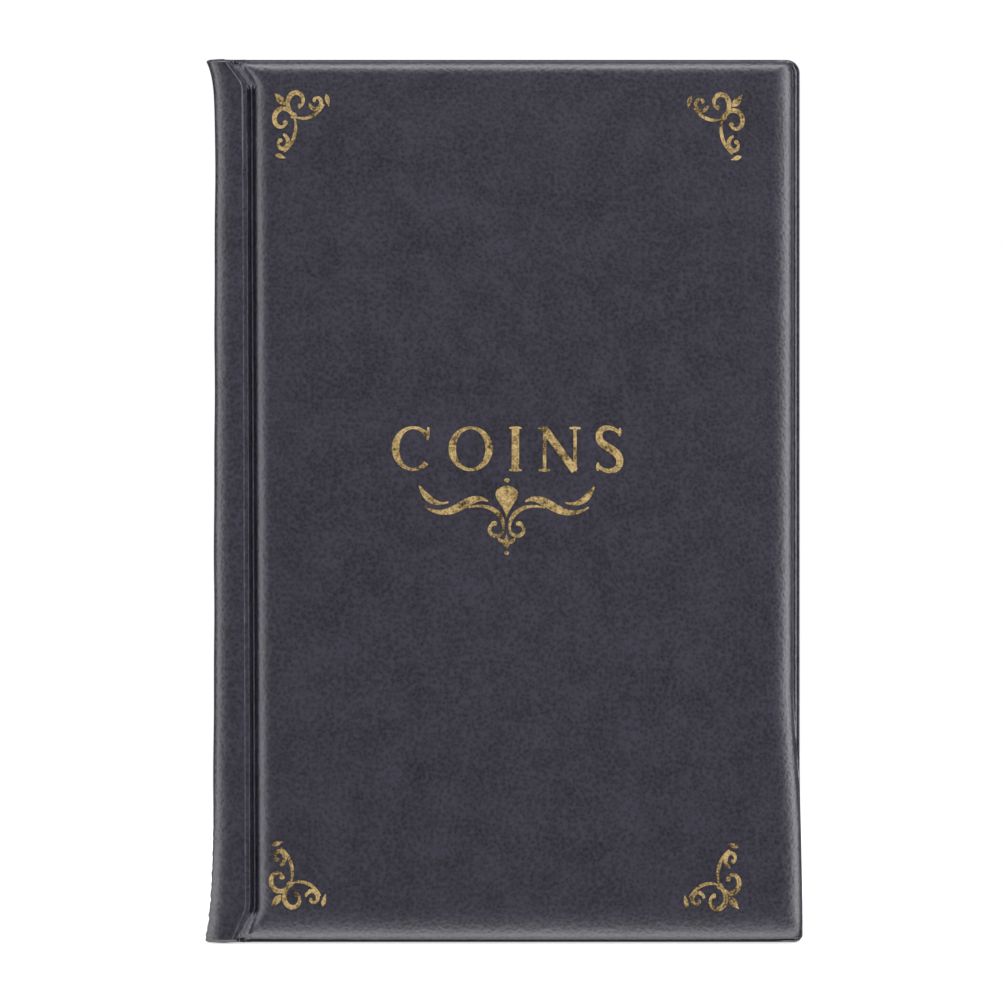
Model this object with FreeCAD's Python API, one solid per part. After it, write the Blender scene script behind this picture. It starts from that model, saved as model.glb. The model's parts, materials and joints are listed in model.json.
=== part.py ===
import FreeCAD, Part
import math
import os

# A small padded coin album, standing on its tail edge and closed.
# All sizes are in millimetres. X runs from the spine to the fore-edge, Y from the front cover to the
# back cover, and Z from tail to head. The origin is at the middle of the base.

FRONT = -1
BACK = 1

# Whole album
height = 210.0
width = 141.5
corner_radius = 2.0

# Layers of a cover, from the leaves outwards. The inner plane is the distance from the middle of the
# leaf block to a cover's inside face.
inner_plane = 5.4
lining = 0.4
cover_board = 2.0
cover_foam = 2.0
skin = 0.6
pad_round = 1.2
pad_corner = 3.6
panel_inset = 1.0
panel_corner = 3.0

# Welded rims round the padded panel
rim_fore = 2.2
rim_end = 1.0
rim_thickness = 0.8

# Spine and binding strips. The spine stands out sideways where its skin is welded flat at head and tail.
spine_flare = 2.1
flare_length_tail = 30.0
flare_length_head = 10.0
spine_round = 2.5
strip_width = 7.9
strip_plane = 9.0
spine_board = 1.5
spine_board_half_width = 6.9
hinge_board = 2.0
hinge_board_gap = 0.4
hinge_board_cut_x = 4.2
hinge_board_cut_z = 7.0
end_weld = 1.2
groove_width = 2.4
groove_depth = 0.8

# Leaves, each a sheet with five rows of pockets, turning on a bare strip of its own film
leaf_count = 10
leaf_pitch = 1.0
leaf_film = 0.3
pocket_film = 0.2
leaf_end_gap = 4.0
margin_reach = 2.25
leaf_plate_reach = 6.25
leaf_fore_gap = 6.0
pocket_rows = 5
pocket_row_gap = 1.6
pocket_side_gap = 3.0

# Rivets through the binding
rivet_count = 3
rivet_shank = 1.5
rivet_head = 2.0
rivet_head_thickness = 0.7
rivet_clearance = 0.05
rivet_end_distance = 35.0

# Gold stamping
foil = 0.05
foil_line = 0.8
stamp_middle = 1.2
title_height = 10.4
title_pitch = 11.5
title_middle = 117.3
title_letter_share = 0.36
flourish_middle = 102.0
flourish_radius = 48.0
flourish_space = 3.0
flourish_sweep = 24.0
scroll_radius = 2.6
scroll_start = 30.0
scroll_sweep = 280.0
corner_reach_x = 49.4
corner_reach_z = 89.3

gap = 0.1

# Places along X that follow from the sizes above
fore_edge = width / 2
spine_face = -width / 2 + spine_flare
strip_edge = spine_face + strip_width
pad_edge = strip_edge + groove_width
pad_fore = fore_edge - rim_fore
margin_edge = strip_edge + margin_reach
plate_edge = strip_edge + leaf_plate_reach
leaf_fore = fore_edge - leaf_fore_gap

# Planes of the layers, as distances from the middle of the album
board_plane = inner_plane + lining
foam_plane = board_plane + cover_board
skin_plane = foam_plane + cover_foam
face_plane = skin_plane + skin
strip_board_plane = strip_plane - skin
strip_lining_plane = strip_board_plane - hinge_board
throat_plane = strip_lining_plane - lining
board_face = spine_face + skin
lining_face = board_face + spine_board
block_face = lining_face + lining
hinge_board_across = (lining_face + hinge_board_gap, strip_edge - skin)
rivet_x = sum(hinge_board_across) / 2


def box(x, y, z):
    """A box between the low and high values given for each axis."""
    size = (x[1] - x[0], y[1] - y[0], z[1] - z[0])
    return Part.makeBox(*size, FreeCAD.Vector(x[0], y[0], z[0]))


def slab(side, x, planes, z):
    """A box between two planes on the front or the back side of the album."""
    y = sorted((side * planes[0], side * planes[1]))
    return box(x, y, z)


def ends(inset):
    """The low and high Z of a piece that stops short of tail and head by an inset."""
    return (inset, height - inset)


def save(name, *solids):
    """Writes one node, which may hold several separate solids."""
    shape = solids[0] if len(solids) == 1 else Part.makeCompound(list(solids))
    shape.exportStep("parts/" + name + ".step")


def edges_on_plane(solid, y):
    """The edges that lie wholly in the plane at this Y."""
    return [e for e in solid.Edges if all(abs(v.Y - y) < 1e-6 for v in e.Vertexes)]


def edges_along_y(solid):
    """The straight edges that run from front to back."""
    edges = [e for e in solid.Edges if len(e.Vertexes) == 2]
    return [e for e in edges if abs(e.Vertexes[0].Y - e.Vertexes[1].Y) > 1e-6]


def round_fore_corners(plate):
    """Rounds a cover plate's two corners at the fore-edge."""
    corners = [e for e in edges_along_y(plate) if abs(e.Vertexes[0].X - fore_edge) < 1e-6]
    return plate.makeFillet(corner_radius, corners)


# Covers

def cover_skin(side):
    """The padded outer skin of a cover, a tray with a thin welded rim on three sides."""
    pad = slab(side, (pad_edge, pad_fore), (board_plane, face_plane), ends(rim_end))
    pad = pad.makeFillet(pad_corner, edges_along_y(pad))
    pad = pad.makeFillet(pad_round, edges_on_plane(pad, side * face_plane))
    rim = slab(side, (pad_edge, fore_edge), (board_plane, board_plane + rim_thickness), ends(0))
    core = cover_layer(side, (board_plane, skin_plane))
    return pad.fuse(round_fore_corners(rim)).removeSplitter().cut(core)


def cover_layer(side, planes):
    """A board or foam sheet that fills the padded skin from edge to edge."""
    sheet = slab(side, (pad_edge + panel_inset, pad_fore - panel_inset), planes, ends(rim_end + panel_inset))
    return sheet.makeFillet(panel_corner, edges_along_y(sheet))


def cover_lining(side):
    """The smooth sheet that closes a cover's inside face and is welded to the skin's rim."""
    return round_fore_corners(slab(side, (pad_edge, fore_edge), (inner_plane, board_plane), ends(0)))


def make_cover(side, name):
    save(name + "_cover_skin", cover_skin(side))
    save(name + "_cover_foam", cover_layer(side, (foam_plane, skin_plane)))
    save(name + "_cover_board", cover_layer(side, (board_plane, foam_plane)))
    save(name + "_cover_lining", cover_lining(side))
    hinge = (strip_plane - groove_depth - skin, strip_plane - groove_depth)
    save(name + "_hinge_skin", slab(side, (strip_edge, pad_edge - gap), hinge, ends(0)))


# Spine

def spine_section(face, z):
    """The outline of the spine block at one height, with its two outer edges rounded."""
    near = strip_plane - spine_round
    turn = spine_round * (1 - math.sqrt(0.5))
    inner = (strip_edge, strip_plane)
    points = [
        (inner[0], -inner[1]),
        (face + spine_round, -strip_plane),
        (face + turn, -strip_plane + turn),
        (face, -near),
        (face, near),
        (face + turn, strip_plane - turn),
        (face + spine_round, strip_plane),
        inner,
    ]
    p = [FreeCAD.Vector(x, y, z) for x, y in points]
    edges = [
        Part.makeLine(p[0], p[1]),
        Part.Arc(p[1], p[2], p[3]).toShape(),
        Part.makeLine(p[3], p[4]),
        Part.Arc(p[4], p[5], p[6]).toShape(),
        Part.makeLine(p[6], p[7]),
        Part.makeLine(p[7], p[0]),
    ]
    return Part.Wire(edges)


def spine_skin():
    """The outer skin over the spine and both binding strips, hollow for its boards and the leaf block."""
    flared = -width / 2
    sections = [
        spine_section(flared, 0),
        spine_section(spine_face, flare_length_tail),
        spine_section(spine_face, height - flare_length_head),
        spine_section(flared, height),
    ]
    block = Part.makeLoft(sections, True, True)
    inside = ends(end_weld)
    panel = spine_panel()
    strips = box((lining_face, strip_edge - skin), (-strip_board_plane, strip_board_plane), inside)
    lined = box((lining_face, strip_edge), (-strip_lining_plane, strip_lining_plane), inside)
    throat = box((block_face, strip_edge), (-throat_plane, throat_plane), ends(0))
    return block.cut(panel.fuse([strips, lined, throat]))


def spine_panel():
    """The stiff board behind the spine."""
    across = (-spine_board_half_width, spine_board_half_width)
    return box((board_face, lining_face), across, ends(end_weld))


def spine_lining():
    """The inner sheet of the spine, a channel that the leaf block is bound into."""
    outer = box((lining_face, strip_edge), (-strip_lining_plane, strip_lining_plane), ends(end_weld))
    inner = box((block_face, strip_edge), (-throat_plane, throat_plane), ends(end_weld))
    return outer.cut(inner)


def rivet_places():
    """The heights of the rivets, evenly spaced between the two ends."""
    step = (height - 2 * rivet_end_distance) / (rivet_count - 1)
    return [rivet_end_distance + n * step for n in range(rivet_count)]


def pin(radius, z, y):
    """A cylinder along Y at the rivet line."""
    start = FreeCAD.Vector(rivet_x, y[0], z)
    return Part.makeCylinder(radius, y[1] - y[0], start, FreeCAD.Vector(0, 1, 0))


def drilled(solid, radius, y):
    """A piece of the binding with its rivet holes."""
    return solid.cut(Part.makeCompound([pin(radius, z, y) for z in rivet_places()]))


def cut_corner(side, edge, planes, end, way):
    """The three-cornered piece that is cut off a hinge board at one end. way is 1 at the tail, -1 at the head."""
    y = side * planes[0]
    corners = [(edge, end), (edge - hinge_board_cut_x, end), (edge, end + way * hinge_board_cut_z), (edge, end)]
    outline = Part.makePolygon([FreeCAD.Vector(x, y, z) for x, z in corners])
    return Part.Face(outline).extrude(FreeCAD.Vector(0, side * (planes[1] - planes[0]), 0))


def hinge_strip_board(side):
    """The stiff strip inside one binding strip, recessed for the rivet heads. Its corners at the groove are
    cut off, because the skin is drawn in there."""
    planes = (strip_lining_plane, strip_board_plane)
    strip = slab(side, hinge_board_across, planes, ends(end_weld))
    for end, way in zip(ends(end_weld), (1, -1)):
        strip = strip.cut(cut_corner(side, hinge_board_across[1], planes, end, way))
    strip = drilled(strip, rivet_shank + rivet_clearance, (-strip_plane, strip_plane))
    recess = sorted((side * (strip_board_plane - rivet_head_thickness), side * strip_plane))
    return drilled(strip, rivet_head + rivet_clearance, recess)


def rivet(z):
    """A rivet with its head under the front binding strip's skin."""
    face = -strip_board_plane
    head = pin(rivet_head, z, (face, face + rivet_head_thickness))
    return head.fuse(pin(rivet_shank, z, (face, strip_board_plane))).removeSplitter()


def washer(z):
    """The ring that the rivet's tail is closed over, under the back binding strip's skin."""
    y = (strip_board_plane - rivet_head_thickness, strip_board_plane)
    return pin(rivet_head, z, y).cut(pin(rivet_shank + rivet_clearance, z, y))


def leaf_plane(number):
    """The Y of a leaf's middle. Leaf 1 lies next to the front cover."""
    return (number - (leaf_count + 1) / 2) * leaf_pitch


def leaf_planes():
    return [leaf_plane(number) for number in range(1, leaf_count + 1)]


def binding_spacers():
    """The strips that hold the leaf margins apart, with a thicker one at each end of the block."""
    half = leaf_film / 2
    faces = [-throat_plane]
    for y in leaf_planes():
        faces += [y - half, y + half]
    faces.append(throat_plane)
    strips = []
    for n in range(0, len(faces), 2):
        strip = box((block_face, strip_edge), (faces[n], faces[n + 1]), ends(leaf_end_gap))
        strips.append(drilled(strip, rivet_shank + rivet_clearance, (-strip_plane, strip_plane)))
    return strips


def film_strip(x, y):
    """A strip of one leaf's film, as tall as the leaf."""
    return box(x, (y - leaf_film / 2, y + leaf_film / 2), ends(leaf_end_gap))


def make_spine():
    through = (-strip_plane, strip_plane)
    save("spine_skin", spine_skin())
    save("spine_board", spine_panel())
    save("front_hinge_board", hinge_strip_board(FRONT))
    save("back_hinge_board", hinge_strip_board(BACK))
    save("spine_lining", drilled(spine_lining(), rivet_shank + rivet_clearance, through))
    save("binding_rivets", *[rivet(z) for z in rivet_places()])
    save("rivet_washers", *[washer(z) for z in rivet_places()])
    save("binding_spacers", *binding_spacers())
    margins = [film_strip((block_face, margin_edge), y) for y in leaf_planes()]
    save("leaf_margins", *[drilled(m, rivet_shank + rivet_clearance, through) for m in margins])
    save("leaf_hinge_films", *[film_strip((margin_edge, plate_edge - gap), y) for y in leaf_planes()])


# Leaves

def pocket_strips(y):
    """The front films of one leaf's pockets, one strip to a row, each open along its upper edge."""
    low, high = ends(leaf_end_gap + pocket_row_gap)
    row = (high - low + pocket_row_gap) / pocket_rows
    face = y - leaf_film / 2
    across = (plate_edge + pocket_side_gap, leaf_fore - pocket_side_gap)
    strips = []
    for n in range(pocket_rows):
        bottom = low + n * row
        strips.append(box(across, (face - pocket_film, face), (bottom, bottom + row - pocket_row_gap)))
    return strips


def make_leaf(number):
    name = "leaf_%02d" % number
    y = leaf_plane(number)
    save(name + "_sheet", film_strip((plate_edge, leaf_fore), y))
    save(name + "_pockets", *pocket_strips(y))


# Gold stamping, drawn in the plane of the front cover as X and Z

def stamped(shape):
    """Lays a flat shape, drawn with its thickness along Z, on the front cover's face."""
    turned = shape.copy()
    turned.rotate(FreeCAD.Vector(0, 0, 0), FreeCAD.Vector(1, 0, 0), 90)
    turned.translate(FreeCAD.Vector(0, -face_plane, 0))
    return turned


def bar(start, end):
    """A straight stroke between two points."""
    along = FreeCAD.Vector(end[0] - start[0], end[1] - start[1], 0)
    turn = math.degrees(math.atan2(along.y, along.x))
    stroke = Part.makeBox(along.Length, foil_line, foil, FreeCAD.Vector(0, -foil_line / 2, 0))
    stroke.rotate(FreeCAD.Vector(0, 0, 0), FreeCAD.Vector(0, 0, 1), turn)
    stroke.translate(FreeCAD.Vector(start[0], start[1], 0))
    return stroke


def arc(centre, radius, start, sweep):
    """A curved stroke: part of a flat ring, from a start angle through a sweep, in degrees."""
    middle = FreeCAD.Vector(centre[0], centre[1], 0)
    up = FreeCAD.Vector(0, 0, 1)
    ring = Part.makeCylinder(radius + foil_line / 2, foil, middle, up, sweep)
    ring = ring.cut(Part.makeCylinder(radius - foil_line / 2, foil, middle, up, sweep))
    ring.rotate(middle, up, start)
    return ring


def title_letters():
    """The generic word COINS in upright strokes."""
    high = title_height
    r = high / 2 - foil_line / 2
    low, top = title_middle - high / 2, title_middle + high / 2
    c, o, i, n, s = [stamp_middle + (k - 2) * title_pitch for k in range(5)]
    half = high * title_letter_share
    small = (high - foil_line) / 4
    return [
        arc((c, title_middle), r, 50, 260),
        arc((o, title_middle), r, 0, 360),
        bar((i, low), (i, top)),
        bar((n - half, low), (n - half, top)),
        bar((n - half + foil_line, top - foil_line), (n + half - foil_line, low + foil_line)),
        bar((n + half, low), (n + half, top)),
        arc((s, title_middle + small), small, 40, 230),
        arc((s, title_middle - small), small, 220, 230),
    ]


def flourish():
    """The two long sweeps under the title, on one large circle with a space between them."""
    centre = (stamp_middle, flourish_middle + flourish_radius)
    starts = (270 - flourish_space - flourish_sweep, 270 + flourish_space)
    return [arc(centre, flourish_radius, start, flourish_sweep) for start in starts]


def corner_scrolls():
    """A pair of open scrolls in each corner of the front cover."""
    solids = []
    for along in (-1, 1):
        for up in (-1, 1):
            x = stamp_middle + along * corner_reach_x
            z = height / 2 + up * corner_reach_z
            for turn in (-1, 1):
                centre = (x + turn * along * scroll_radius, z - turn * up * scroll_radius)
                solids.append(arc(centre, scroll_radius, scroll_start, scroll_sweep))
    return solids


def make_stamping():
    save("title_foil", *[stamped(s) for s in title_letters()])
    save("flourish_foil", *[stamped(s) for s in flourish()])
    save("corner_foil", *[stamped(s) for s in corner_scrolls()])


os.makedirs("parts", exist_ok=True)
make_cover(FRONT, "front")
make_cover(BACK, "back")
make_spine()
for number in range(1, leaf_count + 1):
    make_leaf(number)
make_stamping()
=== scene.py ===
"""A small padded coin album in charcoal leatherette with gold stamping, closed and standing on its tail edge.

Lengths are in millimetres up to the place where a mesh is made, which turns them into metres. X runs from
the spine to the fore-edge, Y from the front cover to the back cover, and Z from tail to head. On a cover, u
is the X that a point has before the welds at head and tail draw the skin towards the spine. A height is a
distance from the middle plane between the covers, so it is -Y in front and +Y at the back.
"""

import json
import math

import bmesh
import bpy
import numpy as np
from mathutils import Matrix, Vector

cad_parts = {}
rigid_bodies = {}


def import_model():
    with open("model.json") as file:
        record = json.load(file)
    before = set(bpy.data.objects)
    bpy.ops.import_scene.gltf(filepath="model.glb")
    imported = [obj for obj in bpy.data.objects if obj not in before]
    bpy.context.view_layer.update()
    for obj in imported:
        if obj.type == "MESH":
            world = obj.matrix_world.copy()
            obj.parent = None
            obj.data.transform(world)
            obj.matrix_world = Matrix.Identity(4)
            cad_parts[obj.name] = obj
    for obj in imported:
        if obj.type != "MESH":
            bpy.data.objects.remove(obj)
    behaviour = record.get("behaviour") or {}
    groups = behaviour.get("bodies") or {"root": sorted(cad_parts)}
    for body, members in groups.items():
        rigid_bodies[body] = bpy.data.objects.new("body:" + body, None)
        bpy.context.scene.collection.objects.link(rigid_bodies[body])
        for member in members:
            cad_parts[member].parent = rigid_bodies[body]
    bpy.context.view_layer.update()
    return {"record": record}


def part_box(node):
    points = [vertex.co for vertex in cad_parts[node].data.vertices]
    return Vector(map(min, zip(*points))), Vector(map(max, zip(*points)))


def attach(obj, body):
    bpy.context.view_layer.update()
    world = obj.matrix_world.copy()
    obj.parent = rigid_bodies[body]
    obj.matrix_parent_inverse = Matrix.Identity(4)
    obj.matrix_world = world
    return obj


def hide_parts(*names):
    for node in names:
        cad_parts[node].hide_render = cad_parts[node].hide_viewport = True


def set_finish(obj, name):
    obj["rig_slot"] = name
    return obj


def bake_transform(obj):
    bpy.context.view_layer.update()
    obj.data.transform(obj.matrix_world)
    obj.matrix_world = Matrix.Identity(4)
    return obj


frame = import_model()

FRONT, BACK = -1, 1
M = 0.001
LEAVES = 10
COLUMNS, ROWS = 3, 5


def node_box(node):
    """A CAD node's lowest and highest corner in millimetres."""
    low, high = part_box(node)
    return np.array(low) / M, np.array(high) / M


# Sizes read from the frame
skin_low, skin_high = node_box("front_cover_skin")
board_low, board_high = node_box("front_cover_board")
lining_low, lining_high = node_box("front_cover_lining")
spine_low, spine_high = node_box("spine_skin")
HEIGHT = skin_high[2]
FORE = skin_high[0]
CORNER_X = spine_low[0]
FACE = -skin_low[1]
LINING = -lining_high[1], -lining_low[1]
BOARD_TOP = -board_low[1]
STRIP = -spine_low[1]
STRIP_EDGE = spine_high[0]
BLOCK_FACE = node_box("binding_spacers")[0][0]
THROAT = node_box("binding_spacers")[1][1]

# The foam pad: the rims beside it, the width in which each side rounds over, and its foot. Its corners are
# rounded between a square and a circle by the power.
RIM_FORE, RIM_TAIL, RIM_HEAD = 1.9, 0.95, 0.65
PAD_LEFT = board_low[0] - 1.3
PAD_RIGHT = FORE - RIM_FORE
ROUND_LEFT, ROUND_RIGHT, ROUND_HEAD, ROUND_TAIL = 4.2, 5.5, 3.3, 9.0
PAD_BASE = FACE - 2.7
CORNER_POWER = 5.0

# The pad's crown, which is full where the distances to its two sides have at least this product
CROWN, CROWN_PRODUCT = 0.3, 4000

# How much the pad sinks at a side, and how far in that reaches
EASE, EASE_REACH = 0.3, 5.0

# How much the skin drops in the first millimetre outside the pad, at the sides and at head and tail
SKIRT_SIDE, SKIRT_END = 3.0, 5.0

# Towards the tail the pad spreads over the fore-edge rim, more and more from a height down
OVERLAP, OVERLAP_START, OVERLAP_LENGTH = 1.7, 62, 37

# The welded rim, its rounded edge, and a bead along the fore-edge that fades out along head and tail
FLANGE = LINING[1] + 0.45
RIM_ROUND = 0.3
BEAD, BEAD_MIDDLE, BEAD_HALF, BEAD_FADE = 0.5, 1.5, 0.8, 7
CORNER_HEAD, CORNER_TAIL = 3.2, 1.9

# Near the tail the fore-edge stands out, over a length up from the tail and a width in from the edge
BULGE, BULGE_LENGTH = 0.65, 45
BULGE_START, BULGE_WIDTH = FORE - 16, 12

# The skin's thickness where it slopes, the share of it on the flat, and the angle from which a mesh's edge is
# shaded sharp
SKIN = 0.5
KEPT = 0.6
SHARP = math.radians(55)

# The binding strip ends in a wall, and the groove beside it has a ridge along its floor
SPLIT = STRIP_EDGE - 0.15
WALL, WALL_ROUND = STRIP_EDGE + 0.65, 0.7
GROOVE_FLOOR = 8.0
RIDGE, RIDGE_HEIGHT, RIDGE_WIDTH = STRIP_EDGE + 1.6, 0.75, 0.38

# The raised crease along the wall's edge, which is higher at a place below the head
CREASE, CREASE_START, CREASE_SLOPE = 0.14, WALL - 1.45, 0.5
CREASE_MORE, CREASE_MORE_PLACE, CREASE_MORE_REACH = 0.2, 13, 8

# The fold that fills the groove at head and tail
FOLD_LENGTH, FOLD_SLOPE = 7.6, 1.6
FOLD_HEIGHT, FOLD_WIDTH = 0.8, 0.3

# The strip and the groove round down to a foot at head and tail: where each starts to rise, and in what
# length. The strip's foot is higher than the flange. Beyond the limit there is only the pad and its rim.
STRIP_END_START, STRIP_END_LENGTH = 0.2, 0.8
GROOVE_END_START, GROOVE_END_LENGTH = 1.1, 1.6
STRIP_FOOT, STRIP_FOOT_WIDTH = 1.2, 3
GROOVE_LIMIT = PAD_LEFT + 1.5

# How far the skin is drawn towards the spine at head and tail: the slope and the reach of each, the distance
# from the end below which it grows no more, and how softly it starts. Only the skin between two lines along
# the album is drawn, in full from a width inside each. The groove also drifts from tail to head.
PULL_HEAD, PULL_TAIL = (0.75, 6.2), (0.45, 8.2)
PULL_EVEN, PULL_SOFTNESS = 1.0, 0.5
PULL_START, PULL_START_WIDTH = STRIP_EDGE - 3.55, 2.6
PULL_END, PULL_END_WIDTH = PAD_LEFT + 8.65, 7
DRIFT = 0.8

# The spine's rounded edges, and its outer face, which flares at tail and head: its depth and length at each,
# the part of the strip that moves with it, and how far its very ends turn in
SPINE_ROUND_X, SPINE_ROUND_Y = 4.8, 2.9
SPINE_X = CORNER_X + 2.1
FLARE_TAIL_DEPTH, FLARE_HEAD_DEPTH = 1.9, 2.35
FLARE_TAIL, FLARE_HEAD = 9.5, 4.2
FLARE_START, FLARE_WIDTH = STRIP_EDGE - 0.75, 2.75
TURN_IN, TURN_IN_LENGTH = 0.5, 0.6

# The wavering of the spine's face and of its edges: height, angle per millimetre, and angle at the tail
FACE_WAVES = ((0.05, 1 / 9, 0), (0.04, 1 / 4.1, 1))
EDGE_WAVES = ((0.09, 2.6, 0), (0.07, 1.37, 1), (0.05, 4.3, 2))
FACE_WAVES_FADE, EDGE_WAVES_LENGTH = 15, 40

# The soft bead along the spine's edges near the tail: its height, its place and width as angles round the
# edge, and its length
PIPING, PIPING_ANGLE, PIPING_WIDTH, PIPING_LENGTH = 0.3, 1.2, 0.16, 45

# The length at each end in which the spine's skin is welded over its boards, and the step beside it
END_WELD, END_WELD_SLOPE = 1.0, 0.3

# The lining: its channel under the groove, its lift there and on the spine's lining, and its two lines of
# weld, each with its height, its distance from the edge and its width. Its outer face lies a gap inside the
# CAD's, and it has a least thickness.
CHANNEL_START, CHANNEL_END, CHANNEL_SLOPE = SPLIT - 0.6, PAD_LEFT + 0.9, 0.7
CHANNEL_LIFT, SPINE_LIFT = 1.6, 0.75
LINING_WELDS = ((0.12, 3.0, 0.35), (0.08, 1.2, 0.5))
LINING_GAP, LINING_LEAST = 0.06, 0.2

# Gold stamping: its middle and tilt, and how much wider its strokes are than drawn. Below, how far it stands
# out of the skin and goes into it, and the step between the levels that strokes take in turn, so that strokes
# that cross don't share a face.
STAMP_X = (node_box("title_foil")[0][0] + node_box("title_foil")[1][0]) / 2 + 1.0
STAMP_TILT = math.radians(-0.25)
STAMP_WEIGHT = 1.35
FOIL, FOIL_DEPTH, FOIL_STEP, FOIL_LEVELS = 0.05, 0.1, 0.002, 9

# Leaves: where a leaf bends, its corners, the ribs at its welds, and its pockets' thumb notches and slack
MARGIN_EDGE = node_box("leaf_margins")[1][0]
PLATE_EDGE = node_box("leaf_01_sheet")[0][0]
LEAF_CORNER = 4.0
RIB, RIB_WIDTH = 0.06, 0.7
POCKET_GAP = 1.6
NOTCH, NOTCH_WIDTH = 3.6, 0.13
SLACK, SLACK_RISE = 0.22, 3.5

# The colour of the background and of the floor far from the album
BACKGROUND = (1.0, 1.0, 1.0, 1)


def smooth(t):
    """0 below 0, 1 above 1, and an even S between them."""
    t = np.clip(t, 0, 1)
    return t * t * (3 - 2 * t)


def rise(distance, width, power):
    """0 at a padded edge, steep there, and 1 from width inwards."""
    short = np.clip(1 - distance / width, 0, 1)
    return (1 - short**power) ** (1 / power)


def smooth_max(a, b, blend=0.12):
    """The larger of two values, blended where they are close."""
    return (a + b + np.sqrt((a - b) ** 2 + blend**2)) / 2


def bump(value, centre, width):
    """A rounded rib of height 1."""
    return np.exp(-(((value - centre) / width) ** 2))


def crowded(start, end, count, power=1.0):
    """Values from start to end, which lie closer together near start if power is over 1."""
    return start + (end - start) * np.linspace(0, 1, count) ** power


def joined(*runs):
    """Runs of values that share their end points, as one rising or falling row."""
    return np.concatenate([runs[0]] + [run[1:] for run in runs[1:]])


# The skin's shape

def end_distance(z):
    return np.minimum(z, HEIGHT - z)


def pull(distance, slope, reach):
    """How far the weld draws the skin towards the spine: evenly more from reach on, with a soft start."""
    left = reach - np.maximum(distance, PULL_EVEN)
    return slope * (left + np.sqrt(left**2 + PULL_SOFTNESS)) / 2


def pulled(u, z):
    """The X of a point u. The welds at head and tail draw the groove towards the spine."""
    drift = DRIFT * (0.5 - z / HEIGHT)
    share = smooth((u - PULL_START) / PULL_START_WIDTH) * smooth((PULL_END - u) / PULL_END_WIDTH)
    return u + (drift - pull(HEIGHT - z, *PULL_HEAD) - pull(z, *PULL_TAIL)) * share


def pad_height(u, z):
    """The foam pad under the skin: rounded over on all sides, and a little crowned."""
    fore = PAD_RIGHT + OVERLAP * smooth((OVERLAP_START - z) / OVERLAP_LENGTH)
    left, right, tail, head = u - PAD_LEFT, fore - u, z - RIM_TAIL, HEIGHT - RIM_HEAD - z
    across = np.maximum(1 - left / ROUND_LEFT, 1 - right / ROUND_RIGHT)
    along = np.maximum(1 - tail / ROUND_TAIL, 1 - head / ROUND_HEAD)
    reach = np.clip(across, 0, None) ** CORNER_POWER + np.clip(along, 0, None) ** CORNER_POWER
    reach = reach ** (1 / CORNER_POWER)
    eased = sum(np.exp(-np.clip(side, 0, None) / EASE_REACH) for side in (left, right, tail, head))
    crown = CROWN * (1 - ((z - HEIGHT / 2) / (HEIGHT / 2)) ** 2) * np.clip(left * right / CROWN_PRODUCT, 0, 1)
    top = (FACE - PAD_BASE) * np.sqrt(1 - np.clip(reach, 0, 1) ** 2)
    skirt = SKIRT_SIDE * np.clip(-np.minimum(left, right), 0, 1)
    skirt += SKIRT_END * np.clip(-np.minimum(tail, head), 0, 1)
    return PAD_BASE + top + crown - EASE * eased - skirt


def rim_height(u, z):
    """The welded rim: a thin flange, and a bead that runs down the fore-edge and dies out along the ends."""
    fore = FORE - u
    edge = np.minimum(fore, end_distance(z) * RIM_FORE / RIM_HEAD)
    across = np.clip((edge - BEAD_MIDDLE) / BEAD_HALF, -1, 1)
    bead = BEAD * smooth(1 - fore / BEAD_FADE) * np.sqrt(1 - across**2)
    rounded = RIM_ROUND * (1 - rise(edge, RIM_ROUND, 2.0))
    return FLANGE + bead - rounded


def strip_height(u, z):
    """The binding strip and the groove beside it, with its fine edge crease and the ridge along its floor.
    Near head and tail the ridge becomes a fold that fills the groove."""
    end = end_distance(z)
    fold = smooth((FOLD_LENGTH - end) / FOLD_SLOPE)
    crease = CREASE + CREASE_MORE * bump(HEIGHT - z, CREASE_MORE_PLACE, CREASE_MORE_REACH)
    strip = STRIP + crease * smooth((u - CREASE_START) / CREASE_SLOPE)
    wall = 1 - rise(u - WALL + 0.1, WALL_ROUND, 2.0)
    ridge = RIDGE_HEIGHT * bump(u, RIDGE, RIDGE_WIDTH + FOLD_WIDTH * fold) + FOLD_HEIGHT * fold
    level = GROOVE_FLOOR + ridge + (strip - GROOVE_FLOOR - ridge) * wall
    strip_end = rise(end - STRIP_END_START, STRIP_END_LENGTH, 2.0)
    groove_end = rise(end - GROOVE_END_START, GROOVE_END_LENGTH, 2.2)
    edge = strip_end * wall + groove_end * (1 - wall)
    foot = FLANGE + STRIP_FOOT * smooth((WALL - u) / STRIP_FOOT_WIDTH)
    return np.where(u > GROOVE_LIMIT, 0, foot + (level - foot) * edge)


def face_height(u, z):
    """The height of the outer skin over the strip, the groove, the pad and the rim."""
    covered = smooth_max(pad_height(u, z), strip_height(u, z))
    return smooth_max(covered, rim_height(u, z))


def under_height(u, z):
    """The underside of the skin, drawn in from every slope so that the walls keep some thickness."""
    near = [face_height(u + du, z + dz) for du, dz in ((0, 0), (SKIN, 0), (-SKIN, 0), (0, SKIN), (0, -SKIN))]
    return np.maximum(np.min(near, axis=0) - KEPT * SKIN, LINING[1])


def cover_outline(x, z):
    """Gives a cover's square grid its round corners, and a fore-edge that stands out near the tail."""
    x, z = rounded_corners(x, z)
    return x + BULGE * smooth(1 - z / BULGE_LENGTH) * smooth((x - BULGE_START) / BULGE_WIDTH), z


def round_corner(across, along):
    """Turns a square corner of a grid into a round one, ring by ring. The distances are measured from the
    round corner's centre. Returns them drawn in, and which points lie in the corner."""
    inside = (across > 0) & (along > 0)
    share = np.maximum(across, along) / np.maximum(np.hypot(across, along), 1e-9)
    return across * share, along * share, inside


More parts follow.
